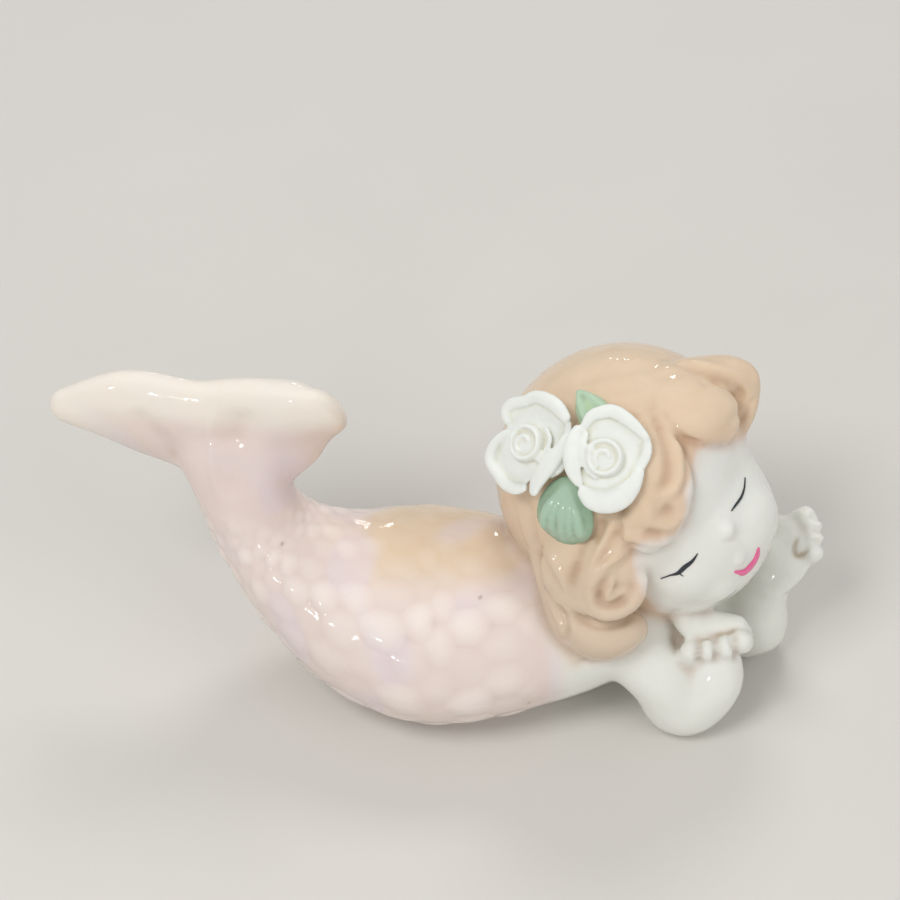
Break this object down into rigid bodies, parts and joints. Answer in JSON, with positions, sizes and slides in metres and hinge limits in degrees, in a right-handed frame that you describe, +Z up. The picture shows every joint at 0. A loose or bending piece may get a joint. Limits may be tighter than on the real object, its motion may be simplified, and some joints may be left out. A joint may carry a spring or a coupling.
{
  "type": "porcelain mermaid figurine",
  "caption": "Small glazed porcelain mermaid lying on her front, chin on her hands, tail curled up, with white roses and green leaves in her hair.",
  "frame": {"origin": "middle of the flat under the belly, on the plane the figure rests on", "axes": "+X from the tail towards the head, +Y towards the side turned away from the pictured one, +Z up"},
  "size_m": [0.1011, 0.0409, 0.0492],
  "materials": {
    "glazed_porcelain": "clear gloss glaze over white body with pale pink and tan airbrushed colour",
    "white_porcelain": "unglazed to satin white, petals formed by hand",
    "green_porcelain": "gloss glaze over sage green colour"
  },
  "bodies": {
    "root": {"mermaid_figure": "glazed_porcelain", "rose_front": "white_porcelain", "rose_back": "white_porcelain", "leaf_lower": "green_porcelain", "leaf_upper": "green_porcelain"}
  },
  "joints": []
}
